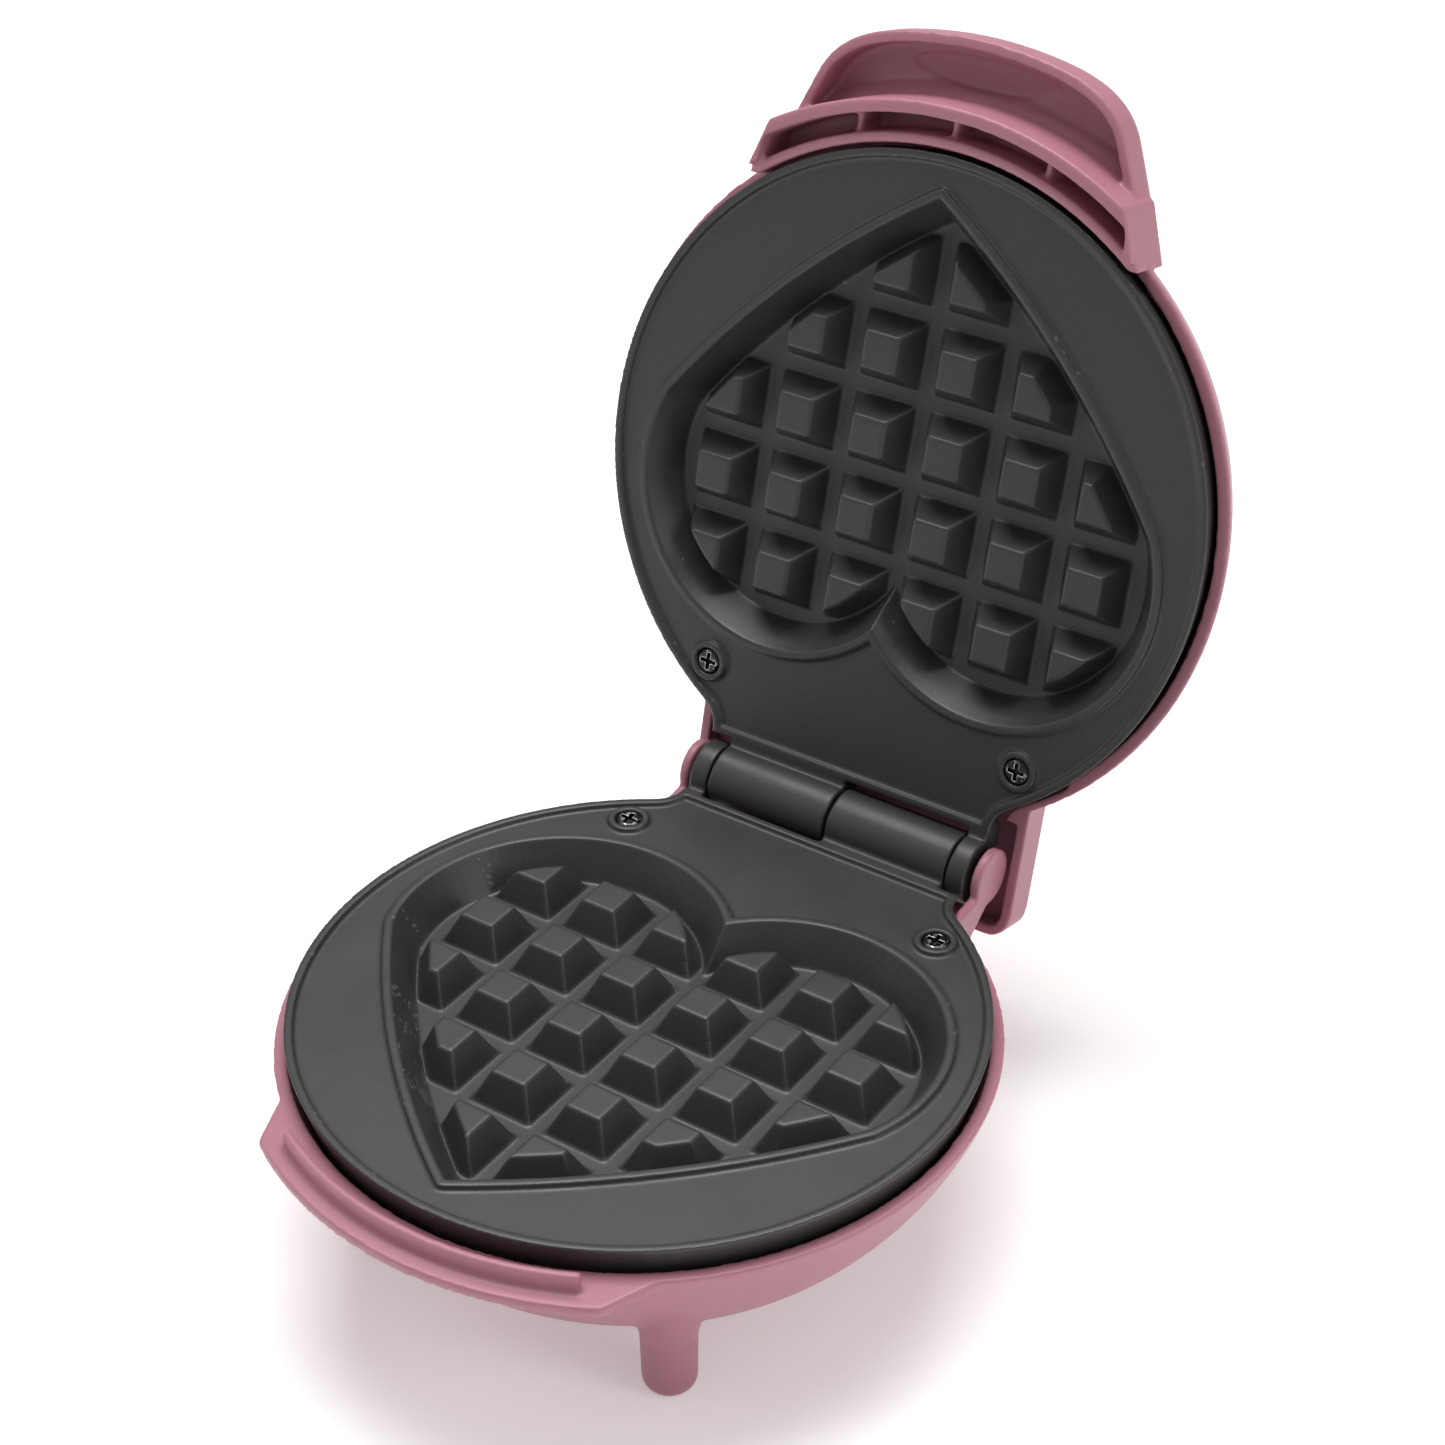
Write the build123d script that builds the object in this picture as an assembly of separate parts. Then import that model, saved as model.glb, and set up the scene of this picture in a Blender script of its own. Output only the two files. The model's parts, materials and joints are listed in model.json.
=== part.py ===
from build123d import *
import math
import os

# Mini heart waffle maker, modelled open and standing on its four feet.
# Both halves are drawn the same way: cooking face up, plate centre at X0 Y0,
# parting plane at Z0 and hinge towards +Y. The lid half is then turned over
# onto the base and swung open about the hinge.

# ---- driving dimensions, millimetres ----
PLATE_R = 61.0
PLATE_DRAFT = 15.0
PLATE_DEPTH = 9.0
FACE_GAP = 0.15
NECK_HALF = 30.4
NECK_END = 57.0
NECK_DEPTH = 5.2
NECK_BLEND = 6.0
RIM_WIDTH = 1.7
FIELD_DEPTH = 1.1
DECK_UNDERSIDE = 4.4

LOBE_X = 22.6
LOBE_Y = 6.6
LOBE_R = 30.2
LOBE_END_ANGLE = -24.0
LEG_MID = (24.8, -34.4)
HEART_TIP = -53.6
CAVITY_DEPTH = 7.4
WALL_RUN = 4.2
HEART_RIB = 1.5
POD_WALL = 2.4
POD_DEPTH = 10.4

PITCH = 15.55
ROW_ZERO = 7.5
COLUMNS_IN_ROW = {1: 3, 0: 3, -1: 3, -2: 2, -3: 1}
PEAK_TOP = -1.5
PEAK_BASE_HALF = 6.2
PEAK_DRAFT = 25.0

SCREW_X = 33.4
SCREW_Y = 43.4
SCREW_HEAD_R = 2.45
SCREW_BOSS_R = 3.9

HINGE_Y = 64.55
KNUCKLE_R = 6.3
KNUCKLE_SHORT = (-30.0, -26.3)
KNUCKLE_LONG = (0.3, 25.9)
PIN_R = 2.0
PIN_FIT = 0.04
OPEN_ANGLE = 104.0

RIM_Z = -4.8
HOUSING_R = 63.0
RIM_INNER_R = 60.5
SKIN = 2.2
SIDE_ARC_R = 61.0
SIDE_LEAN = 18.3
CORNER_ARC_R = 15.0
BASE_DEPTH = 30.7
LID_DEPTH = 28.0

FRONT_FOOT = (31.6, -37.0)
REAR_FOOT = (20.0, 48.0)
FOOT_HEIGHT = 27.0
FOOT_TOP_R = 5.2
FOOT_TIP_R = 4.7
FOOT_FLARE_R = 7.6
FOOT_FLARE = (-29.0, -12.5)
FOOT_Z = -41.7
FOOT_ROUND = 2.4

TAB_R = 68.8
TAB_CORNER = (34.8, -59.1)
TAB_ROOT = (38.9, -49.4)
TAB_THICK = 2.0
TAB_RIB = (64.2, 65.8)
TAB_RIB_TOP = -1.3
TAB_RIB_ANGLE = 27.5

EAR_INNER = 31.0
EAR_OUTER = 33.0
EAR_TOP = -2.6
EAR_LOBE_R = 5.4
EAR_FLOOR = -10.0
KNUCKLE_SWEEP_R = 6.9

TAIL_HALF = 35.6
TAIL_WALL = 2.1
TAIL_END = 78.5
TAIL_DEPTH = 11.8
TAIL_CORNER = 5.0
TAIL_FRONT_WALL = (53.0, 55.2)

HANDLE_R = 80.4
HANDLE_ROOT = (34.1, -60.2)
HANDLE_SHOULDER = (30.6, -68.6)
HANDLE_CORNER = (25.4, -75.1)
HANDLE_ARC_END = 15.0
HANDLE_LIP = 2.0
HANDLE_BACK = -13.2
HANDLE_FLOOR = -10.8
SCOOP_ROUND = 2.6
DISH_Y = -73.8
DISH_HALF = (15.0, 2.9)
DISH_DEPTH = 0.5
SKIRT_INNER_WALL = (61.7, 63.6)
SKIRT_OUTER_WALL = (67.0, 69.4)
SKIRT_TOP = 1.7
SKIRT_FLOOR = -8.4
SKIRT_END_WALL = 2.1
SKIRT_RIB_TOP = -1.8
SKIRT_RIB_X = (-18.7, 0.0, 18.7)

HEATER_R = 31.5
HEATER_TUBE_R = 3.2
HEATER_Z = -12.2
HEATER_GAP = 50.0
RETAINER_THICK = 1.0
REFLECTOR_R = 47.0
REFLECTOR_THICK = 0.6
BOSS_R = 6.0

INLET_Z = -21.5
INLET_BORE_R = 3.1
INLET_FACE_Y = 59.5
LENS_Y = -28.0
LENS_R = 4.0

# The finished part stands with its feet on Z0, half way along the open body.
MID_Y = 24.6227


# ---- small helpers ----
def tube_z(radius, low, high, x=0.0, y=0.0):
    """Upright cylinder between two heights."""
    return Pos(x, y, (low + high) / 2) * Cylinder(radius, high - low)


def tube_x(radius, left, right, y=0.0, z=0.0):
    """Cylinder along X between two places."""
    return Pos((left + right) / 2, y, z) * Rot(0, 90, 0) * Cylinder(radius, right - left)


def tube_y(radius, front, back, x=0.0, z=0.0):
    """Cylinder along Y between two places."""
    return Pos(x, (front + back) / 2, z) * Rot(90, 0, 0) * Cylinder(radius, back - front)


def block(x_span, y_span, z_span):
    """Box between two corners."""
    middle = [sum(span) / 2 for span in (x_span, y_span, z_span)]
    size = [span[1] - span[0] for span in (x_span, y_span, z_span)]
    return Pos(*middle) * Box(*size)


def plate_of(face, low, high):
    """Flat outline made solid between two heights."""
    return extrude(Pos(0, 0, low) * face, high - low, dir=(0, 0, 1))


def ring_z(inner, outer, low, high):
    return tube_z(outer, low, high) - tube_z(inner, low - 1, high + 1)


def mirrored_pair(shape):
    return [shape, mirror(shape, Plane.YZ)]


def closed_face(half_edges):
    """Face from the edges of its right half and their mirror images."""
    edges = list(half_edges)
    edges += [mirror(edge, Plane.YZ) for edge in half_edges]
    return make_face(edges)


# ---- outlines, seen from above ----
def on_circle(radius, degrees):
    angle = math.radians(degrees)
    return (radius * math.cos(angle), radius * math.sin(angle))


def plate_face():
    """Round plate with a neck towards the hinge, blended where they meet."""
    outline = Circle(PLATE_R) + Pos(0, NECK_END - 20) * Rectangle(2 * NECK_HALF, 40)
    joint_y = math.sqrt(PLATE_R ** 2 - NECK_HALF ** 2)
    joints = [v for v in outline.vertices() if abs(v.Y - joint_y) < 0.01]
    return fillet(joints, NECK_BLEND) - Pos(0, NECK_END + 10) * Rectangle(80, 20)


def circle_through(a, b, c):
    """Centre and radius of the circle through three points."""
    turn = 2 * (a[0] * (b[1] - c[1]) + b[0] * (c[1] - a[1]) + c[0] * (a[1] - b[1]))
    squares = [p[0] ** 2 + p[1] ** 2 for p in (a, b, c)]
    x = (squares[0] * (b[1] - c[1]) + squares[1] * (c[1] - a[1]) + squares[2] * (a[1] - b[1])) / turn
    y = (squares[0] * (c[0] - b[0]) + squares[1] * (a[0] - c[0]) + squares[2] * (b[0] - a[0])) / turn
    return x, y, math.hypot(a[0] - x, a[1] - y)


def heart_face(inset=0.0):
    """Heart with two round lobes and slightly bowed legs, drawn inside the main outline by the inset."""
    end = math.radians(LOBE_END_ANGLE)
    lobe_r = LOBE_R - inset
    outer_end = (LOBE_X + LOBE_R * math.cos(end), LOBE_Y + LOBE_R * math.sin(end))
    leg_x, leg_y, leg_r = circle_through(outer_end, LEG_MID, (0, HEART_TIP))
    leg_r -= inset
    tip = (0, leg_y - math.sqrt(leg_r ** 2 - leg_x ** 2))
    gap = math.hypot(LOBE_X - leg_x, LOBE_Y - leg_y)
    along = (gap ** 2 + leg_r ** 2 - lobe_r ** 2) / (2 * gap)
    across = math.sqrt(leg_r ** 2 - along ** 2)
    ux, uy = (LOBE_X - leg_x) / gap, (LOBE_Y - leg_y) / gap
    choices = [(leg_x + along * ux - k * across * uy, leg_y + along * uy + k * across * ux) for k in (-1, 1)]
    lobe_end = max(choices)
    cleft = (0, LOBE_Y + math.sqrt(lobe_r ** 2 - LOBE_X ** 2))
    crown = math.radians(40)
    crown_point = (LOBE_X + lobe_r * math.cos(crown), LOBE_Y + lobe_r * math.sin(crown))
    end_angle = math.atan2(lobe_end[1] - leg_y, lobe_end[0] - leg_x)
    tip_angle = math.atan2(tip[1] - leg_y, tip[0] - leg_x)
    mid_angle = (end_angle + tip_angle) / 2
    leg_point = (leg_x + leg_r * math.cos(mid_angle), leg_y + leg_r * math.sin(mid_angle))
    lobe = ThreePointArc(cleft, crown_point, lobe_end)
    leg = ThreePointArc(lobe_end, leg_point, tip)
    return closed_face([lobe, leg])


def heart_hollow(depth, run, top):
    """Heart-shaped hollow whose wall leans inward towards the floor."""
    mouth = Pos(0, 0, top) * heart_face(-run * top / depth)
    floor = Pos(0, 0, -depth) * heart_face(run)
    return loft([mouth, floor], ruled=True)


def wedge_face(radius, corner, root):
    """Front flange outline: an arc about the plate centre with straight slanted ends."""
    angle = math.atan2(corner[1], corner[0])
    arc_end = (radius * math.cos(angle), radius * math.sin(angle))
    front = ThreePointArc((0, -radius), on_circle(radius, (math.degrees(angle) - 90) / 2), arc_end)
    side = Line(arc_end, root)
    inside = Line(root, (0, root[1]))
    return closed_face([front, side, inside])


def handle_face(inset=0.0):
    """Handle outline: front arc, well rounded shoulders and sides that spread to the root."""
    radius = HANDLE_R - inset
    arc_end = (HANDLE_ARC_END, -math.sqrt(radius ** 2 - HANDLE_ARC_END ** 2))
    half_turn = math.degrees(math.asin(HANDLE_ARC_END / radius)) / 2
    front = ThreePointArc((0, -radius), on_circle(radius, -90 + half_turn), arc_end)
    spread = (HANDLE_ROOT[0] - HANDLE_SHOULDER[0], HANDLE_ROOT[1] - HANDLE_SHOULDER[1])
    corner = (HANDLE_CORNER[0] - 0.66 * inset, HANDLE_CORNER[1] + 0.75 * inset)
    shoulder_end = (HANDLE_SHOULDER[0] - inset, HANDLE_SHOULDER[1])
    root = (HANDLE_ROOT[0] - inset, HANDLE_ROOT[1])
    shoulder = Spline(arc_end, corner, shoulder_end, tangents=[(-arc_end[1], arc_end[0]), spread])
    side = Line(shoulder_end, root)
    up = Line(root, (root[0], -50))
    inside = Line((root[0], -50), (0, -50))
    return closed_face([front, shoulder, side, up, inside])


# ---- plate casting ----
def knuckle(span):
    """Hinge barrel with the web that joins it to the neck."""
    web = block(span, (NECK_END - 1.0, HINGE_Y), (-KNUCKLE_R + 0.6, -FACE_GAP))
    return web + tube_x(KNUCKLE_R, span[0], span[1], HINGE_Y)


def lattice():
    """Square peaks of the waffle pattern, trimmed by the heart's floor outline."""
    height = CAVITY_DEPTH + PEAK_TOP
    peaks = []
    for row, half_count in COLUMNS_IN_ROW.items():
        for column in range(-half_count, half_count):
            spot = Pos((column + 0.5) * PITCH, ROW_ZERO + row * PITCH, -CAVITY_DEPTH - 0.4)
            square = Rectangle(2 * PEAK_BASE_HALF + 0.37, 2 * PEAK_BASE_HALF + 0.37)
            peaks.append(extrude(spot * square, height + 0.4, taper=PEAK_DRAFT))
    trim_low = Pos(0, 0, -CAVITY_DEPTH - 0.5) * heart_face(WALL_RUN + 0.1)
    trim_high = Pos(0, 0, 0.5) * heart_face(WALL_RUN + 3.4)
    trim = loft([trim_low, trim_high], ruled=True)
    return [peak & trim for peak in peaks]


def cooking_plate():
    """Cast plate: drafted edge, raised rim, heart cavity with peaks, underside pod and hinge barrels."""
    outline = plate_face()
    pod = heart_face(WALL_RUN / 2 - POD_WALL)
    body = extrude(outline, PLATE_DEPTH, dir=(0, 0, -1), taper=PLATE_DRAFT)
    body -= block((-40, 40), (52.0, 70), (-PLATE_DEPTH - 1, -NECK_DEPTH))
    hollow = offset(outline, -5.0) - pod
    body -= plate_of(hollow, -PLATE_DEPTH - 1, -DECK_UNDERSIDE)
    body += plate_of(pod, -POD_DEPTH, -DECK_UNDERSIDE + 0.2)
    field = offset(outline, -RIM_WIDTH) - offset(heart_face(), HEART_RIB)
    for side in (-1, 1):
        field -= Pos(side * SCREW_X, SCREW_Y) * Circle(SCREW_BOSS_R)
    body -= plate_of(field, -FIELD_DEPTH, 1)
    body -= heart_hollow(CAVITY_DEPTH, WALL_RUN, 0.5)
    for peak in lattice():
        body += peak
    for side in (-1, 1):
        body += tube_z(SCREW_BOSS_R, -PLATE_DEPTH, -DECK_UNDERSIDE, side * SCREW_X, SCREW_Y)
        body -= tube_z(1.9, -PLATE_DEPTH - 1, 1, side * SCREW_X, SCREW_Y)
        body -= tube_z(SCREW_HEAD_R + 0.15, -1.9, 1, side * SCREW_X, SCREW_Y)
    body += tube_z(BOSS_R, HEATER_Z - HEATER_TUBE_R, -POD_DEPTH + 0.5)
    body -= tube_z(1.5, HEATER_Z - HEATER_TUBE_R - 1, -POD_DEPTH - 0.6)
    body -= Pos(0, 0, HEATER_Z) * Torus(HEATER_R, HEATER_TUBE_R + 0.1)
    body -= block((-70, 70), (-70, 70), (-FACE_GAP, 5))
    for span in (KNUCKLE_SHORT, KNUCKLE_LONG):
        body += knuckle(span)
    return body


def bored(plate, radius):
    return plate - tube_x(radius, -40, 40, HINGE_Y)


# ---- housings ----
def bowl_profile(depth, inset, top):
    """Half section of the round housing: leaning side arc, corner arc and flat crown."""
    lean = math.radians(SIDE_LEAN)
    side_x = HOUSING_R - SIDE_ARC_R * math.cos(lean)
    side_z = RIM_Z - 0.5 + SIDE_ARC_R * math.sin(lean)
    turn = math.asin((depth + side_z - CORNER_ARC_R) / (SIDE_ARC_R - CORNER_ARC_R))
    corner_x = side_x + (SIDE_ARC_R - CORNER_ARC_R) * math.cos(turn)
    corner_z = side_z - (SIDE_ARC_R - CORNER_ARC_R) * math.sin(turn)

    def on_side(angle):
        reach = SIDE_ARC_R - inset
        return (side_x + reach * math.cos(angle), side_z - reach * math.sin(angle))

    def on_corner(angle):
        reach = CORNER_ARC_R - inset
        return (corner_x + reach * math.cos(angle), corner_z - reach * math.sin(angle))

    first = on_side(lean)
    side = ThreePointArc(first, on_side((lean + turn) / 2), on_side(turn))
    corner = ThreePointArc(on_side(turn), on_corner((turn + math.pi / 2) / 2), on_corner(math.pi / 2))
    crown = Line(on_corner(math.pi / 2), (0, -depth + inset))
    axis = Line((0, -depth + inset), (0, top))
    lid = Line((0, top), (first[0], top))
    wall = Line((first[0], top), first)
    return make_face([side, corner, crown, axis, lid, wall])


def bowl_solid(depth, inset=0.0, top=RIM_Z):
    section = Plane.XZ * bowl_profile(depth, inset, top)
    return revolve(section, Axis.Z)


def screw_posts(depth):
    """Posts that take the plate screws, and two plain rests at the front."""
    posts = []
    for side in (-1, 1):
        posts.append(tube_z(3.6, -depth, -PLATE_DEPTH, side * SCREW_X, SCREW_Y))
        posts.append(tube_z(2.6, -depth, -PLATE_DEPTH, side * 37.0, -42.5))
    return [post & bowl_solid(depth, 0.6) for post in posts]


def screw_pilots():
    return [tube_z(1.25, -PLATE_DEPTH - 8, 0, side * SCREW_X, SCREW_Y) for side in (-1, 1)]


def flare_clearance():
    """Room in the shell's rim for the plate where it flares into the neck."""
    room = plate_of(offset(plate_face(), 0.4), -PLATE_DEPTH - 0.3, 2)
    return [room & cheek for cheek in mirrored_pair(block((27.4, 42), (44, 60), (-12, 3)))]


def hinge_ear():
    """Lobed plate beside the barrels on the right, standing clear of the plate's edge."""
    lobe_start = (HINGE_Y - 1.5, -EAR_LOBE_R + 0.2)
    top_edge = ((46, EAR_TOP), (HINGE_Y, EAR_TOP + 1.0))
    profile = Polyline(*top_edge, lobe_start, (56.5, EAR_FLOOR), (46, EAR_FLOOR), close=True)
    arm = Pos(EAR_INNER, 0, 0) * extrude(Plane.YZ * make_face(profile), EAR_OUTER - EAR_INNER)
    arm += tube_x(EAR_LOBE_R, EAR_INNER, EAR_OUTER, HINGE_Y)
    return arm - plate_of(offset(plate_face(), 0.5), -20, 2)


def base_housing():
    """Lower shell: bowl, front tab with its rib, four feet, hinge trough and cord inlet."""
    bowl = bowl_solid(BASE_DEPTH)
    for foot_x, y in (FRONT_FOOT, REAR_FOOT):
        for x in (-foot_x, foot_x):
            foot = Pos(x, y, FOOT_Z + FOOT_HEIGHT / 2) * Cone(FOOT_TIP_R, FOOT_TOP_R, FOOT_HEIGHT)
            tip = foot.edges().group_by(Axis.Z)[0]
            bowl += fillet(tip, FOOT_ROUND)
            flare_height = FOOT_FLARE[1] - FOOT_FLARE[0]
            bowl += Pos(x, y, sum(FOOT_FLARE) / 2) * Cone(FOOT_TOP_R - 0.1, FOOT_FLARE_R, flare_height)
    tab = plate_of(wedge_face(TAB_R, TAB_CORNER, TAB_ROOT), RIM_Z - TAB_THICK, RIM_Z)
    bowl += tab - tube_z(HOUSING_R - 1.0, -20, 0)
    bowl += tube_y(8.0, 40, INLET_FACE_Y, 0, INLET_Z)
    for x in (-18.0, 18.0):
        bowl += block((x - 1.2, x + 1.2), (50, 65.4), (-17.5, -7.0))
    bowl -= block((-EAR_INNER, EAR_INNER), (40, 90), (-NECK_DEPTH - 0.7, 20))
    bowl -= tube_x(KNUCKLE_SWEEP_R, -EAR_INNER, EAR_INNER, HINGE_Y)
    for ear in mirrored_pair(hinge_ear()):
        bowl += ear
    bowl -= bowl_solid(BASE_DEPTH, SKIN, 5.0) & tube_z(RIM_INNER_R, -60, 10)
    rib_low = on_circle(1.0, -90 - TAB_RIB_ANGLE)
    rib = ring_z(TAB_RIB[0], TAB_RIB[1], RIM_Z - 0.5, TAB_RIB_TOP)
    reach = (rib_low[0] * 90, rib_low[1] * 90)
    sector = Polyline((0, 0), reach, (0, -140), (-reach[0], reach[1]), close=True)
    bowl += rib & plate_of(make_face(sector), RIM_Z - 1, 1)
    for post in screw_posts(BASE_DEPTH):
        bowl += post
    for cut in screw_pilots() + flare_clearance():
        bowl -= cut
    bowl += tube_y(8.0, 48.2, INLET_FACE_Y - 2, 0, INLET_Z) & bowl_solid(BASE_DEPTH, 0.5)
    bowl -= tube_y(5.0, 30, 80, 0, INLET_Z)
    return bowl


def lid_housing():
    """Upper shell: dome, scooped handle, skirt that hides the tab rib, and the tail behind the hinge."""
    dome = bowl_solid(LID_DEPTH)
    handle = plate_of(handle_face(), HANDLE_BACK, RIM_Z)
    back_edges = handle.edges().group_by(Axis.Z)[0].filter_by(lambda e: e.center().Y < -51)
    handle = fillet(back_edges, 3.0)
    dome += handle
    skirt_face = wedge_face(SKIRT_OUTER_WALL[1], TAB_CORNER, TAB_ROOT)
    skirt = plate_of(skirt_face, HANDLE_BACK + 2.6, SKIRT_TOP)
    dome += skirt - tube_z(SKIRT_INNER_WALL[0], RIM_Z, 5)
    tail = block((-TAIL_HALF, TAIL_HALF), (40, TAIL_END), (-TAIL_DEPTH, RIM_Z))
    corners = tail.edges().filter_by(Axis.Z).group_by(Axis.Y)[-1]
    tail = fillet(corners, TAIL_CORNER)
    dome += tail
    inside = bowl_solid(LID_DEPTH, SKIN, 5.0) & tube_z(RIM_INNER_R, -60, 10)
    dome -= inside
    scoop = plate_of(handle_face(HANDLE_LIP), HANDLE_FLOOR, 5)
    scoop -= tube_z(SKIRT_OUTER_WALL[1], -60, 10)
    dome -= scoop
    cove_r = SKIRT_OUTER_WALL[1] + SCOOP_ROUND
    cove = ring_z(SKIRT_OUTER_WALL[1] - 0.5, cove_r, HANDLE_FLOOR - 0.5, HANDLE_FLOOR + SCOOP_ROUND)
    slope = Cone(cove_r + 0.3, SKIRT_OUTER_WALL[1] - 0.1, SCOOP_ROUND + 0.4)
    cove &= Pos(0, 0, HANDLE_FLOOR + SCOOP_ROUND / 2 - 0.2) * slope
    dome += cove & plate_of(handle_face(HANDLE_LIP - 0.5), HANDLE_FLOOR - 1, 0)
    dome -= Pos(0, DISH_Y, HANDLE_FLOOR - DISH_DEPTH) * extrude(Ellipse(DISH_HALF[0], DISH_HALF[1]), 2.0)
    channel = ring_z(SKIRT_INNER_WALL[1], SKIRT_OUTER_WALL[0], SKIRT_FLOOR, 10)
    inner_corner = (TAB_CORNER[0] - SKIRT_END_WALL, TAB_CORNER[1])
    inner_root = (TAB_ROOT[0] - SKIRT_END_WALL, TAB_ROOT[1])
    channel &= plate_of(wedge_face(SKIRT_OUTER_WALL[1] + 3, inner_corner, inner_root), -20, 12)
    for x in SKIRT_RIB_X:
        channel -= block((x - 0.6, x + 0.6), (-80, -50), (-20, SKIRT_RIB_TOP))
    dome -= channel
    dome -= ring_z(SKIRT_INNER_WALL[0] - 3, SKIRT_INNER_WALL[1], -0.1, 10)
    channel_x = TAIL_HALF - TAIL_WALL
    tray = block((-channel_x, channel_x), (TAIL_FRONT_WALL[1], TAIL_END - TAIL_WALL), (-TAIL_DEPTH + TAIL_WALL, 5))
    tray_corners = tray.edges().filter_by(Axis.Z).group_by(Axis.Y)[-1]
    dome -= fillet(tray_corners, TAIL_CORNER - TAIL_WALL)
    neck = block((-EAR_INNER, EAR_INNER), (40, 60), (-NECK_DEPTH - 0.5, 5))
    dome -= neck
    for post in screw_posts(LID_DEPTH):
        dome += post
    for cut in screw_pilots() + flare_clearance():
        dome -= cut
    dome -= tube_z(LENS_R + 0.1, -LID_DEPTH - 2, -LID_DEPTH + 4, 0, LENS_Y)
    return dome


# ---- inner pieces, drawn for one half ----
def heater():
    """Tubular element bent to an open ring."""
    path = CenterArc((0, 0, HEATER_Z), HEATER_R, 90 + HEATER_GAP / 2, 360 - HEATER_GAP)
    start = Plane(origin=path @ 0, z_dir=path % 0)
    return sweep(start * Circle(HEATER_TUBE_R), path)


def heater_pins():
    """Terminal pins that stand out of both ends of the element."""
    pins = []
    for turn in (-1, 1):
        angle = math.radians(90 + turn * HEATER_GAP / 2)
        x = HEATER_R * math.cos(angle)
        y = HEATER_R * math.sin(angle)
        end = Plane(origin=(x, y, HEATER_Z), z_dir=(turn * math.sin(angle), -turn * math.cos(angle), 0))
        pins.append(extrude(end * Circle(1.2), 8.0))
    return pins


def retainer():
    """Three-armed spring plate that presses the element into the casting."""
    top = HEATER_Z - HEATER_TUBE_R
    plate = tube_z(9.0, top - RETAINER_THICK, top)
    for turn in (30, 150, 270):
        arm = block((0, HEATER_R + 4), (-3.5, 3.5), (top - RETAINER_THICK, top))
        plate += Rot(0, 0, turn) * arm
    return plate - tube_z(2.1, -40, 0)


def reflector(holes):
    """Thin dish that keeps the heat off the shell."""
    top = HEATER_Z - HEATER_TUBE_R - RETAINER_THICK
    dish = tube_z(REFLECTOR_R, top - REFLECTOR_THICK, top)
    dish += ring_z(REFLECTOR_R - REFLECTOR_THICK, REFLECTOR_R, top - REFLECTOR_THICK, top + 3.5)
    dish -= tube_z(2.1, -40, 0)
    for x, y, radius in holes:
        dish -= tube_z(radius, -40, 0, x, y)
    return dish


def centre_screw():
    top = HEATER_Z - HEATER_TUBE_R - RETAINER_THICK - REFLECTOR_THICK
    return tube_z(1.45, top, -POD_DEPTH - 0.8) + tube_z(4.0, top - 2.0, top)


def plate_screws():
    """Two cross-recessed pan screws beside the neck."""
    screws = []
    for side in (-1, 1):
        x = side * SCREW_X
        shank = tube_z(1.2, -PLATE_DEPTH - 7.0, -1.5, x, SCREW_Y)
        head = tube_z(SCREW_HEAD_R, -1.9, -0.3, x, SCREW_Y)
        head = fillet(head.edges().group_by(Axis.Z)[-1], 0.7)
        slot = block((x - 1.7, x + 1.7), (SCREW_Y - 0.42, SCREW_Y + 0.42), (-1.5, 2))
        cross = block((x - 0.42, x + 0.42), (SCREW_Y - 1.7, SCREW_Y + 1.7), (-1.5, 2))
        screws.append(shank + head - slot - cross)
    return screws


# ---- control pieces in the base ----
THERMOSTAT_X = -17.0
FUSE_X = 17.0
CONTROL_Y = -9.0


def thermostat():
    """Snap-disc switch against the underside of the plate."""
    x, y = THERMOSTAT_X, CONTROL_Y
    body = tube_z(6.5, -19.5, -POD_DEPTH, x, y)
    body += block((x - 2.5, x + 2.5), (y - 10.5, y + 10.5), (-POD_DEPTH - 1.0, -POD_DEPTH))
    for side in (-1, 1):
        body += block((x + side * 4.6 - 0.4, x + side * 4.6 + 0.4), (y - 2, y + 2), (-25, -19.5))
        body -= tube_z(1.3, -20, 0, x, y + side * 8.6)
    return body


def thermostat_screws():
    screws = []
    for side in (-1, 1):
        x, y = THERMOSTAT_X, CONTROL_Y + side * 8.6
        shank = tube_z(1.2, -POD_DEPTH - 1.0, -POD_DEPTH + 1.9, x, y)
        screws.append(shank + tube_z(2.0, -POD_DEPTH - 2.6, -POD_DEPTH - 1.0, x, y))
    return screws


FUSE_Z = -POD_DEPTH - 3.0


def fuse():
    """Thermal cut-off with its two wire ends, lying along Y."""
    wire = tube_y(0.5, CONTROL_Y - 11, CONTROL_Y + 11, FUSE_X, FUSE_Z)
    return wire + tube_y(1.9, CONTROL_Y - 6, CONTROL_Y + 6, FUSE_X, FUSE_Z)


def fuse_sleeve():
    outer = tube_y(2.8, CONTROL_Y - 9, CONTROL_Y + 9, FUSE_X, FUSE_Z)
    return outer - tube_y(1.95, CONTROL_Y - 10, CONTROL_Y + 10, FUSE_X, FUSE_Z)


def fuse_strap():
    """Bent strip that holds the sleeve under the plate."""
    low, high = CONTROL_Y - 3, CONTROL_Y + 3
    saddle = tube_y(3.8, low, high, FUSE_X, FUSE_Z) - tube_y(2.9, low - 1, high + 1, FUSE_X, FUSE_Z)
    saddle -= block((FUSE_X - 5, FUSE_X + 5), (low - 1, high + 1), (FUSE_Z, 0))
    for side in (-1, 1):
        leg = sorted((FUSE_X + side * 2.9, FUSE_X + side * 3.8))
        saddle += block(leg, (low, high), (FUSE_Z - 0.01, -POD_DEPTH))
    saddle += block((FUSE_X - 9.0, FUSE_X - 2.9), (low, high), (-POD_DEPTH - 0.9, -POD_DEPTH))
    return saddle - tube_z(1.3, -20, 0, FUSE_X - 6.3, CONTROL_Y)


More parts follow.
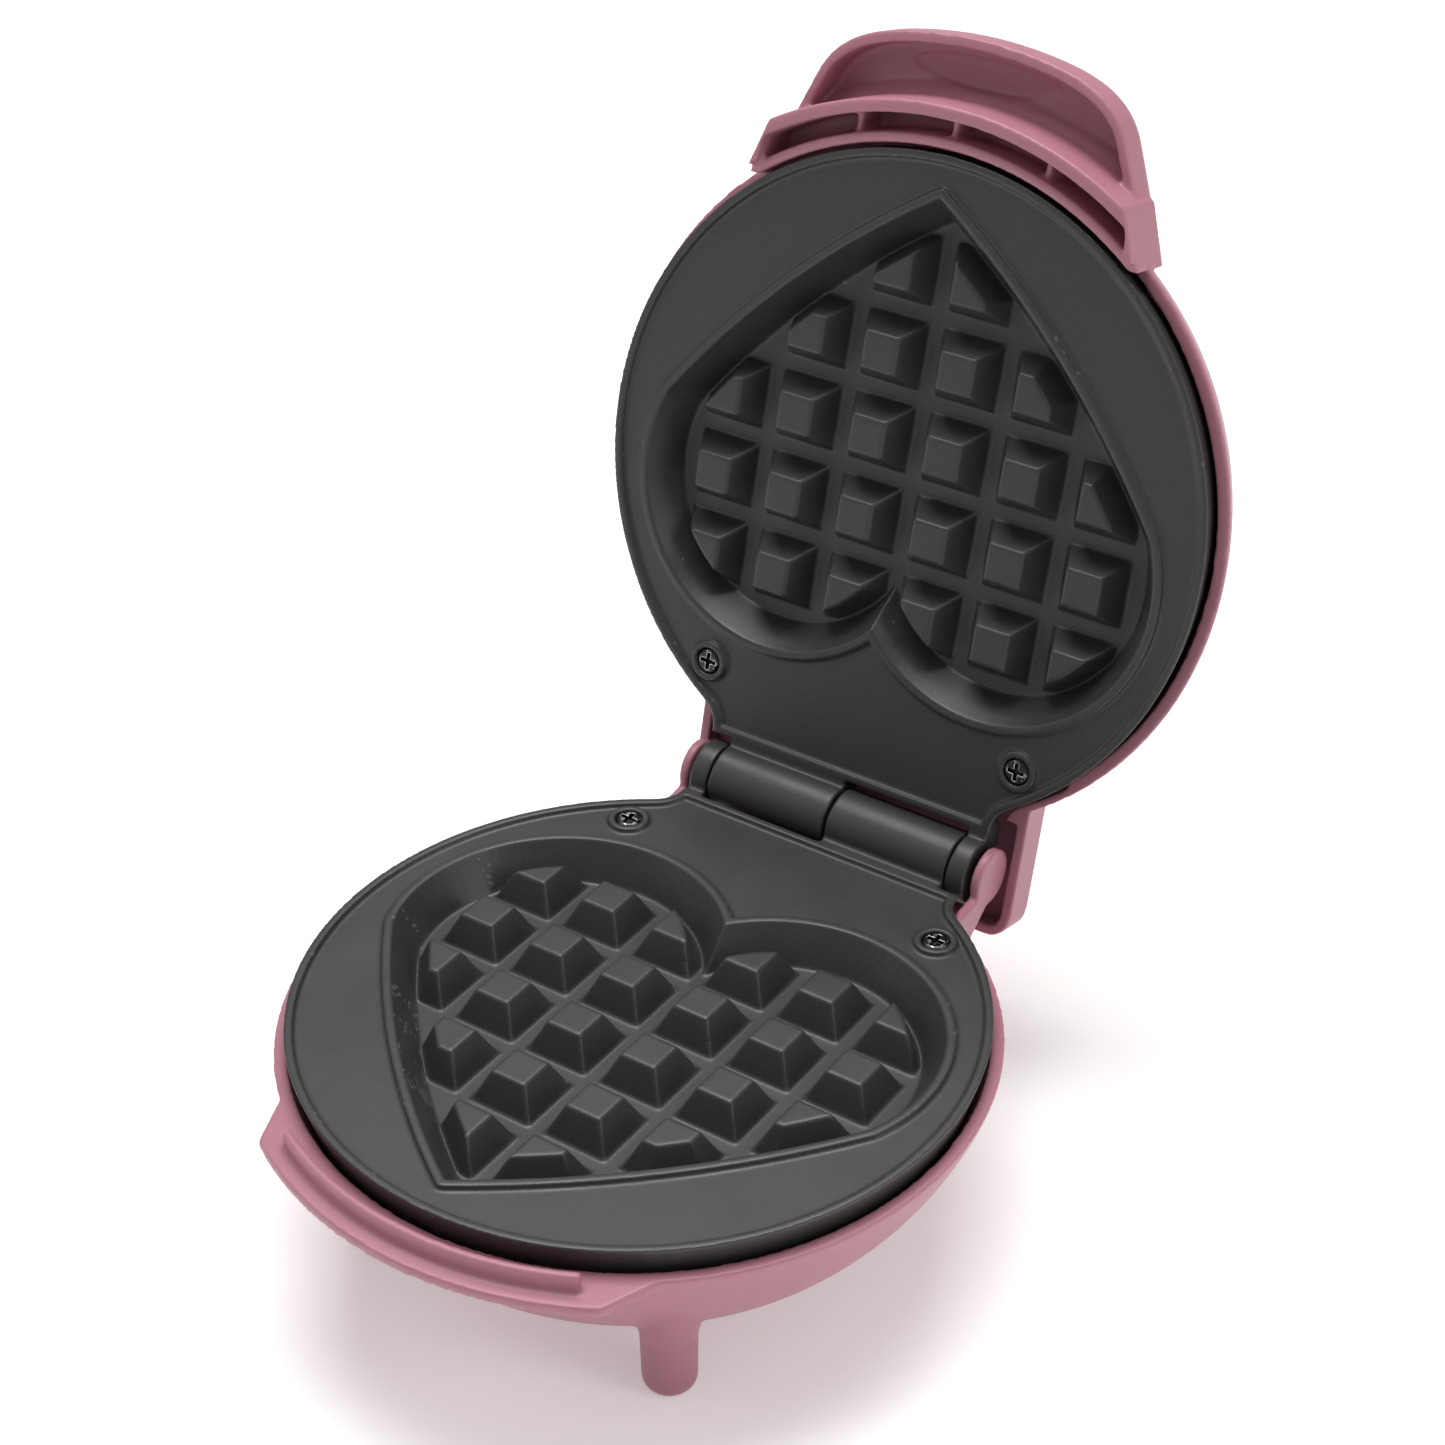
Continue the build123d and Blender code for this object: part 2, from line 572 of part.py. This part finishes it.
def fuse_screw():
    low = -POD_DEPTH - 0.9
    shank = tube_z(1.2, low, -POD_DEPTH + 1.9, FUSE_X - 6.3, CONTROL_Y)
    return shank + tube_z(2.1, low - 1.5, low, FUSE_X - 6.3, CONTROL_Y)


def terminal_block():
    """Ceramic connector on the floor of the bowl."""
    floor = -BASE_DEPTH + SKIN
    body = block((-13, 13), (21, 31), (floor, floor + 9))
    for x in (-8.0, 0.0, 8.0):
        body -= tube_y(1.6, 10, 40, x, floor + 4.5)
        body -= tube_z(1.5, floor + 5, floor + 12, x, 26)
    return body


def terminal_screws():
    floor = -BASE_DEPTH + SKIN
    return [tube_z(1.4, floor + 6.2, floor + 8.4, x, 26) for x in (-8.0, 0.0, 8.0)]


def cord_clamp():
    """Saddle bar that grips the supply cord inside the inlet."""
    return block((-10, 10), (39.0, 44.5), (INLET_Z - 3.4, INLET_Z - 1.0)) - clamp_holes()


def clamp_holes():
    return tube_z(1.5, -40, 0, -7, 41.75) + tube_z(1.5, -40, 0, 7, 41.75)


def clamp_posts():
    posts = []
    for x in (-7, 7):
        post = tube_z(2.6, -BASE_DEPTH + 1.0, INLET_Z - 3.4, x, 41.75)
        posts.append(post - tube_z(1.2, -BASE_DEPTH + 3.0, 0, x, 41.75))
    return posts


def clamp_screws():
    screws = []
    for x in (-7, 7):
        shank = tube_z(1.15, INLET_Z - 5.4, INLET_Z - 1.0, x, 41.75)
        screws.append(shank + tube_z(2.3, INLET_Z - 1.0, INLET_Z + 0.6, x, 41.75))
    return screws


def cord_gland():
    """Rubber gland pressed into the rear inlet."""
    body = tube_y(5.0, 48.2, INLET_FACE_Y, 0, INLET_Z)
    flange = tube_y(6.6, INLET_FACE_Y, INLET_FACE_Y + 1.8, 0, INLET_Z)
    return body + flange - tube_y(INLET_BORE_R, 40, 70, 0, INLET_Z)


# ---- signal lamp in the lid ----
def lamp_lens():
    low = -LID_DEPTH
    lens = tube_z(LENS_R, low - 0.9, low + SKIN, 0, LENS_Y)
    lens = fillet(lens.edges().group_by(Axis.Z)[0], 0.7)
    return lens + tube_z(LENS_R + 1.4, low + SKIN, low + SKIN + 1.0, 0, LENS_Y)


def lamp_holder():
    low = -LID_DEPTH + SKIN + 1.0
    cup = tube_z(LENS_R + 1.4, low, low + 7.0, 0, LENS_Y)
    return cup - tube_z(2.6, low, low + 6.0, 0, LENS_Y)


def lamp_bulb():
    low = -LID_DEPTH + SKIN + 1.0
    return fillet(tube_z(2.3, low + 0.3, low + 6.0, 0, LENS_Y).edges().group_by(Axis.Z)[0], 1.2)


# ---- hinge hardware ----
def hinge_pin():
    return tube_x(PIN_R, -29.6, 29.6, HINGE_Y)


# ---- placing and export ----
STAND = Pos(0, -MID_Y, -FOOT_Z)
LID = STAND * Pos(0, HINGE_Y, 0) * Rot(-OPEN_ANGLE, 0, 0) * Pos(0, -HINGE_Y, 0) * Rot(0, 180, 0)


def save(name, shapes, place):
    """Write one sub-part, moved to where it sits on the open appliance."""
    pieces = shapes if isinstance(shapes, list) else [shapes]
    solids = []
    for piece in pieces:
        solids += [place * solid for solid in piece.solids()]
    whole = solids[0] if len(solids) == 1 else Compound(children=solids)
    export_step(whole, "parts/" + name + ".step")


def main():
    os.makedirs("parts", exist_ok=True)
    casting = cooking_plate()
    pilots = [(THERMOSTAT_X, CONTROL_Y - 8.6), (THERMOSTAT_X, CONTROL_Y + 8.6), (FUSE_X - 6.3, CONTROL_Y)]
    for point in pilots:
        pilot = tube_z(1.2, -POD_DEPTH - 1, -POD_DEPTH + 2.0, *point)
        casting -= pilot
    control_holes = [(THERMOSTAT_X, CONTROL_Y, 8.0), (FUSE_X, CONTROL_Y, 6.0)]
    save("base_plate", bored(casting, PIN_R), STAND)
    save("lid_plate", bored(casting, PIN_R + PIN_FIT), LID)
    shell = base_housing()
    for post in clamp_posts():
        shell += post & bowl_solid(BASE_DEPTH, 0.6)
    save("base_housing", shell, STAND)
    save("lid_housing", lid_housing(), LID)
    for half, place, holes in (("base", STAND, control_holes), ("lid", LID, [])):
        save(half + "_heater", heater(), place)
        save(half + "_heater_pins", heater_pins(), place)
        save(half + "_heater_retainer", retainer(), place)
        save(half + "_reflector", reflector(holes), place)
        save(half + "_reflector_screw", centre_screw(), place)
        save(half + "_plate_screws", plate_screws(), place)
    save("thermostat", thermostat(), STAND)
    save("thermostat_screws", thermostat_screws(), STAND)
    save("thermal_fuse", fuse(), STAND)
    save("fuse_sleeve", fuse_sleeve(), STAND)
    save("fuse_strap", fuse_strap(), STAND)
    save("fuse_strap_screw", fuse_screw(), STAND)
    save("terminal_block", terminal_block(), STAND)
    save("terminal_screws", terminal_screws(), STAND)
    save("cord_clamp", cord_clamp(), STAND)
    save("cord_clamp_screws", clamp_screws(), STAND)
    save("cord_gland", cord_gland(), STAND)
    save("lamp_lens", lamp_lens(), LID)
    save("lamp_holder", lamp_holder(), LID)
    save("lamp_bulb", lamp_bulb(), LID)
    save("hinge_pin", hinge_pin(), STAND)


main()
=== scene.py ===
import json
import math

import bmesh
import bpy
from mathutils import Matrix, Vector


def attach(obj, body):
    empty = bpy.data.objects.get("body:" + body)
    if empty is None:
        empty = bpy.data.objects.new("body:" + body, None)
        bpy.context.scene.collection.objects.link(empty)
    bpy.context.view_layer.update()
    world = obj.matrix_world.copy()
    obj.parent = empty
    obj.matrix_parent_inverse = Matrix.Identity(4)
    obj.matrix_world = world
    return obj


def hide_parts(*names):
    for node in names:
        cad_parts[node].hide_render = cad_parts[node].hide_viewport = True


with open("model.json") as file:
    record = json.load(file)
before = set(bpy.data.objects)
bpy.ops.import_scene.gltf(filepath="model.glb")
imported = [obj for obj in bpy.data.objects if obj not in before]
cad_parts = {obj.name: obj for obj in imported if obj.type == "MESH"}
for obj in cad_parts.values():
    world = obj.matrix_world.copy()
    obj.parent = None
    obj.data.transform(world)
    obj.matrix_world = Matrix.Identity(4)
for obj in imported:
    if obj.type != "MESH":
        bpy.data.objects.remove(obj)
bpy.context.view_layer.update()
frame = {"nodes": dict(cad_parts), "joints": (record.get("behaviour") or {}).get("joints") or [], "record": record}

MM = 0.001
JOINT = frame["joints"][0]
HINGE = Vector(JOINT["pos_m"])
OPEN_TURN = math.radians(JOINT["range_deg"][1])
# the lid half lies face up in its own frame, so its flat faces run along the voxel grid
LID_TURN = Matrix.Rotation(-OPEN_TURN, 4, "X") @ Matrix.Rotation(math.pi, 4, "Y")
LID_PLACE = Matrix.Translation(HINGE) @ LID_TURN
BASE_PLACE = Matrix.Translation(HINGE)

# places of the colour sockets on a colour Mix node
MIX_FACTOR, MIX_A, MIX_B = 0, 6, 7
MIX_RESULT = 2


# ---- material helpers ----
class Shader:
    """A Principled material with short calls for the nodes around it; sizes are in metres."""

    def __init__(self, name, colour, roughness, metallic=0.0, **fixed):
        self.material = bpy.data.materials.new(name)
        self.material.use_nodes = True
        self.tree = self.material.node_tree
        self.main = self.tree.nodes["Principled BSDF"]
        self.place = self.node("ShaderNodeTexCoord").outputs["Object"]
        self.colour = colour
        self.main.inputs["Base Color"].default_value = (*colour, 1)
        self.main.inputs["Roughness"].default_value = roughness
        self.main.inputs["Metallic"].default_value = metallic
        for socket, value in fixed.items():
            self.main.inputs[socket.replace("_", " ")].default_value = value
        self.normal = None

    def node(self, kind, **inputs):
        made = self.tree.nodes.new(kind)
        for socket, value in inputs.items():
            made.inputs[socket].default_value = value
        return made

    def link(self, a, b):
        self.tree.links.new(a, b)

    def tone(self, factor):
        """The base colour, darker or lighter by a factor."""
        return (*[channel * factor for channel in self.colour], 1)

    def noise(self, size, detail=3.0, rough=0.55, stretch=(1, 1, 1)):
        """Cloudy 0 to 1 pattern whose largest spots are about size across."""
        mapping = self.node("ShaderNodeMapping", Scale=stretch)
        self.link(self.place, mapping.inputs["Vector"])
        made = self.node("ShaderNodeTexNoise", Scale=1 / size, Detail=detail, Roughness=rough)
        self.link(mapping.outputs["Vector"], made.inputs["Vector"])
        return made.outputs["Fac"]

    def edges(self, low, high):
        """1 on sharp outer edges of the fine mesh, 0 on flats."""
        sharpness = self.node("ShaderNodeNewGeometry").outputs["Pointiness"]
        return self.spread(sharpness, low, high, 0.0, 1.0)

    def paint_edge_highlight(self, source, factor):
        """Paints a highlight, the base colour lightened by factor, on top of whatever colour is already linked,
        where source is high.
        """
        mix = self.tree.nodes.new("ShaderNodeMix")
        mix.data_type = "RGBA"
        under = self.main.inputs["Base Color"].links[0].from_socket
        self.link(under, mix.inputs[MIX_A])
        mix.inputs[MIX_B].default_value = self.tone(factor)
        self.link(source, mix.inputs[MIX_FACTOR])
        self.link(mix.outputs[MIX_RESULT], self.main.inputs["Base Color"])

    def spread(self, source, low, high, out_low, out_high):
        """Stretches low..high of a pattern to out_low..out_high."""
        made = self.node("ShaderNodeMapRange")
        made.inputs["From Min"].default_value = low
        made.inputs["From Max"].default_value = high
        made.inputs["To Min"].default_value = out_low
        made.inputs["To Max"].default_value = out_high
        self.link(source, made.inputs["Value"])
        return made.outputs["Result"]

    def tint(self, source, low, high):
        """Colour that runs between two tones of the base colour."""
        ramp = self.tree.nodes.new("ShaderNodeMix")
        ramp.data_type = "RGBA"
        ramp.inputs[MIX_A].default_value = self.tone(low)
        ramp.inputs[MIX_B].default_value = self.tone(high)
        self.link(source, ramp.inputs[MIX_FACTOR])
        self.link(ramp.outputs[MIX_RESULT], self.main.inputs["Base Color"])

    def rough(self, source, low, high):
        """Roughness that runs from low to high over the pattern's middle part."""
        self.link(self.spread(source, 0.3, 0.7, low, high), self.main.inputs["Roughness"])

    def bump(self, source, height, strength):
        """Relief of this height, on top of any relief that is already there."""
        made = self.node("ShaderNodeBump", Strength=strength, Distance=height)
        self.link(source, made.inputs["Height"])
        if self.normal is not None:
            self.link(self.normal, made.inputs["Normal"])
        self.normal = made.outputs["Normal"]
        self.link(self.normal, self.main.inputs["Normal"])


def coated_plate():
    """Black non-stick coating: orange peel, faint speckle, cloudy sheen and painted highlights on its sharp edges.
    """
    s = Shader("nonstick_coating", (0.030, 0.030, 0.0315), 0.42, Specular_IOR_Level=0.55)
    speckle = s.noise(0.35 * MM, 2.0, 0.6)
    cloud = s.noise(12 * MM, 4.0, 0.5)
    s.tint(s.spread(speckle, 0.35, 0.7, 0.0, 1.0), 0.86, 1.25)
    # painted highlight: the coating's sharp edges are lightened in colour to stand in for the light lines along
    # them
    s.paint_edge_highlight(s.edges(0.55, 0.60), 3.0)
    s.rough(cloud, 0.38, 0.48)
    s.bump(s.noise(1.1 * MM, 3.0, 0.5), 0.04 * MM, 0.4)
    s.bump(speckle, 0.02 * MM, 0.4)
    return s.material


def pink_plastic():
    """Satin moulded housing with a fine spark-eroded texture."""
    s = Shader("pink_plastic", (0.400, 0.166, 0.212), 0.42, Specular_IOR_Level=0.5,
               Subsurface_Weight=0.06, Subsurface_Scale=2 * MM)
    grain = s.noise(0.28 * MM, 2.0, 0.6)
    cloud = s.noise(20 * MM, 4.0, 0.55)
    s.tint(cloud, 0.96, 1.04)
    s.rough(cloud, 0.38, 0.46)
    s.bump(grain, 0.02 * MM, 0.45)
    s.bump(s.noise(1.6 * MM, 3.0, 0.5), 0.02 * MM, 0.35)
    return s.material


def metal(name, colour, roughness, stretch=(1, 1, 1)):
    """Bare metal with fine streaks, drawn out along the axes that stretch leaves smallest."""
    s = Shader(name, colour, roughness, 1.0)
    streak = s.noise(1.2 * MM, 4.0, 0.6, stretch)
    s.tint(streak, 0.85, 1.1)
    s.rough(streak, roughness * 0.8, roughness * 1.25)
    s.bump(streak, 0.01 * MM, 0.4)
    return s.material


def plain(name, colour, roughness, grain=0.5 * MM, **fixed):
    """Even material with a slight grain."""
    s = Shader(name, colour, roughness, **fixed)
    spots = s.noise(grain, 3.0, 0.6)
    s.tint(spots, 0.9, 1.08)
    s.rough(spots, roughness * 0.85, roughness * 1.15)
    s.bump(spots, 0.02 * MM, 0.4)
    return s.material


def screw_metal():
    """Blackened screw with painted highlights on its rims and recess edges."""
    s = Shader("black_screw", (0.05, 0.05, 0.052), 0.28, 1.0)
    streak = s.noise(0.8 * MM, 4.0, 0.6)
    s.tint(streak, 0.8, 1.15)
    # painted highlight: rims and recess edges are lightened strongly in colour to stand in for glints
    s.paint_edge_highlight(s.edges(0.508, 0.54), 16.0)
    s.rough(streak, 0.22, 0.36)
    s.bump(streak, 0.01 * MM, 0.4)
    return s.material


MATERIALS = {
    "housing_pink": pink_plastic(),
    "cast_plate": coated_plate(),
    "heater_sheath": metal("heater_sheath", (0.30, 0.28, 0.26), 0.45),
    "steel": metal("zinc_steel", (0.62, 0.62, 0.60), 0.32),
    "reflector_sheet": metal("reflector_sheet", (0.80, 0.80, 0.80), 0.28, (1, 8, 1)),
    "dark_screw": screw_metal(),
    "ceramic": plain("ceramic", (0.80, 0.78, 0.72), 0.25),
    "sleeve": plain("glass_sleeve", (0.70, 0.66, 0.52), 0.8, 1.2 * MM),
    "brass_screw": metal("brass_screw", (0.75, 0.55, 0.25), 0.3),
    "black_plastic": plain("black_plastic", (0.02, 0.02, 0.02), 0.45),
    "rubber": plain("rubber", (0.025, 0.025, 0.025), 0.65),
    "lens": plain("lens_red", (0.55, 0.02, 0.015), 0.12, 4 * MM, Transmission_Weight=0.6),
    "bulb": plain("bulb_glass", (0.85, 0.55, 0.35), 0.08, 4 * MM, Transmission_Weight=0.8),
}


# ---- pieces ----
WELD_DISTANCE = 0.001 * MM
SMOOTH_FACTOR = 0.5


def moulded(node, body, slot, voxel, rounds, place):
    """The node's form with the small rounded edges that casting or moulding leaves.

    It is rebuilt on a voxel grid laid along place, then smoothed for so many rounds.
    """
    mesh = frame["nodes"][node].data.copy()
    mesh.transform(place.inverted())
    shell = bmesh.new()
    shell.from_mesh(mesh)
    bmesh.ops.remove_doubles(shell, verts=shell.verts, dist=WELD_DISTANCE)
    shell.to_mesh(mesh)
    shell.free()
    draft = bpy.data.objects.new(node + ".draft", mesh)
    bpy.context.scene.collection.objects.link(draft)
    remesh = draft.modifiers.new("skin", "REMESH")
    remesh.mode = "VOXEL"
    remesh.voxel_size = voxel * 1.0
    remesh.use_smooth_shade = True
    soften = draft.modifiers.new("soften", "SMOOTH")
    soften.factor = SMOOTH_FACTOR
    soften.iterations = rounds
    depsgraph = bpy.context.evaluated_depsgraph_get()
    result = bpy.data.meshes.new_from_object(draft.evaluated_get(depsgraph))
    bpy.data.objects.remove(draft)
    result.transform(place)
    result.materials.clear()
    result.materials.append(MATERIALS[slot])
    piece = bpy.data.objects.new(node + ".form", result)
    bpy.context.scene.collection.objects.link(piece)
    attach(piece, body)
    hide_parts(node)


# node, body, material slot, voxel in millimetres, smoothing rounds, place of the voxel grid
FORMS = [
    ("base_plate", "base", "cast_plate", 0.28, 8, BASE_PLACE),
    ("lid_plate", "lid", "cast_plate", 0.28, 8, LID_PLACE),
    ("base_housing", "base", "housing_pink", 0.4, 9, BASE_PLACE),
    ("lid_housing", "lid", "housing_pink", 0.4, 9, LID_PLACE),
    ("base_plate_screws", "base", "dark_screw", 0.08, 3, BASE_PLACE),
    ("lid_plate_screws", "lid", "dark_screw", 0.08, 3, LID_PLACE),
]
for node, body, slot, voxel, rounds, place in FORMS:
    moulded(node, body, slot, voxel * MM, rounds, place)

# the other nodes keep their own form and only take a material
replaced = {form[0] for form in FORMS}
for entry in frame["record"]["subparts"]:
    if entry["node"] in replaced:
        continue
    materials = frame["nodes"][entry["node"]].data.materials
    if len(materials) == 0:
        materials.append(MATERIALS[entry["material_slot"]])
    for index in range(len(materials)):
        materials[index] = MATERIALS[entry["material_slot"]]


# ---- studio ----
FLOOR_REACH = 6.0
FLOOR_SEGMENTS = 8
FLOOR_GLOW = 0.27
FILL_STRENGTH = 0.33
WALL_STRENGTH = 1.0
WHITE = (1, 1, 1, 1)


def sheet_floor():
    """Matt white sheet that glows a little, so that it stays near white between the lights."""
    form = bmesh.new()
    bmesh.ops.create_grid(form, x_segments=FLOOR_SEGMENTS, y_segments=FLOOR_SEGMENTS, size=FLOOR_REACH)
    mesh = bpy.data.meshes.new("floor")
    form.to_mesh(mesh)
    form.free()
    floor = bpy.data.objects.new("floor", mesh)
    bpy.context.scene.collection.objects.link(floor)
    sheet = Shader("studio_floor", (0.9, 0.9, 0.9), 0.9, Emission_Color=WHITE, Emission_Strength=FLOOR_GLOW)
    mesh.materials.append(sheet.material)


def area_light(name, place, aim, size, power):
    """Rectangular lamp turned towards the point aim; size in metres, power in watts."""
    light = bpy.data.lights.new(name, "AREA")
    light.shape = "RECTANGLE"
    light.size, light.size_y = size
    light.energy = power
    lamp = bpy.data.objects.new(name, light)
    lamp.location = place
    lamp.rotation_euler = (Vector(aim) - Vector(place)).to_track_quat("-Z", "Y").to_euler()
    bpy.context.scene.collection.objects.link(lamp)


def white_studio():
    """Dim even fill light, seen as a plain white wall behind the floor."""
    world = bpy.data.worlds.new("studio")
    world.use_nodes = True
    nodes, links = world.node_tree.nodes, world.node_tree.links
    fill = nodes["Background"]
    fill.inputs["Color"].default_value = WHITE
    fill.inputs["Strength"].default_value = FILL_STRENGTH
    wall = nodes.new("ShaderNodeBackground")
    wall.inputs["Color"].default_value = WHITE
    wall.inputs["Strength"].default_value = WALL_STRENGTH
    path = nodes.new("ShaderNodeLightPath")
    mix = nodes.new("ShaderNodeMixShader")
    links.new(path.outputs["Is Camera Ray"], mix.inputs["Fac"])
    first, second = mix.inputs[1:]
    links.new(fill.outputs["Background"], first)
    links.new(wall.outputs["Background"], second)
    links.new(mix.outputs["Shader"], nodes["World Output"].inputs["Surface"])
    bpy.context.scene.world = world


sheet_floor()
area_light("overhead", place=(-0.2, 0.25, 1.3), aim=(0, 0, 0.08), size=(1.0, 0.8), power=18.5)
area_light("left_front", place=(-0.9, -0.7, 0.8), aim=(0, 0, 0.1), size=(0.5, 0.8), power=1.6)
area_light("right", place=(1.2, 0.1, 0.6), aim=(0, 0, 0.1), size=(0.4, 0.9), power=3.5)
white_studio()
bpy.context.scene.view_settings.view_transform = "Standard"

# ---- camera: to the right of the front, looking down ----
AZIMUTH = math.radians(34.40)
ELEVATION = math.radians(33.767)
ROLL = math.radians(-0.407)
CAMERA_AT = Vector((0.23497, -0.34182, 0.36306))
LENS_MM = 73.36
SENSOR_MM = 36.0
NEAR_CLIP = 10 * MM
back = Vector((math.sin(AZIMUTH) * math.cos(ELEVATION), -math.cos(AZIMUTH) * math.cos(ELEVATION),
               math.sin(ELEVATION)))
right = Vector((math.cos(AZIMUTH), math.sin(AZIMUTH), 0))
up = back.cross(right)
rolled_right = right * math.cos(ROLL) + up * math.sin(ROLL)
rolled_up = up * math.cos(ROLL) - right * math.sin(ROLL)
camera = bpy.data.objects.new("camera", bpy.data.cameras.new("camera"))
camera.data.lens = LENS_MM
camera.data.sensor_width = SENSOR_MM
camera.data.clip_start = NEAR_CLIP
turn = Matrix((rolled_right, rolled_up, back)).transposed().to_4x4()
camera.matrix_world = Matrix.Translation(CAMERA_AT) @ turn
bpy.context.scene.collection.objects.link(camera)
bpy.context.scene.camera = camera
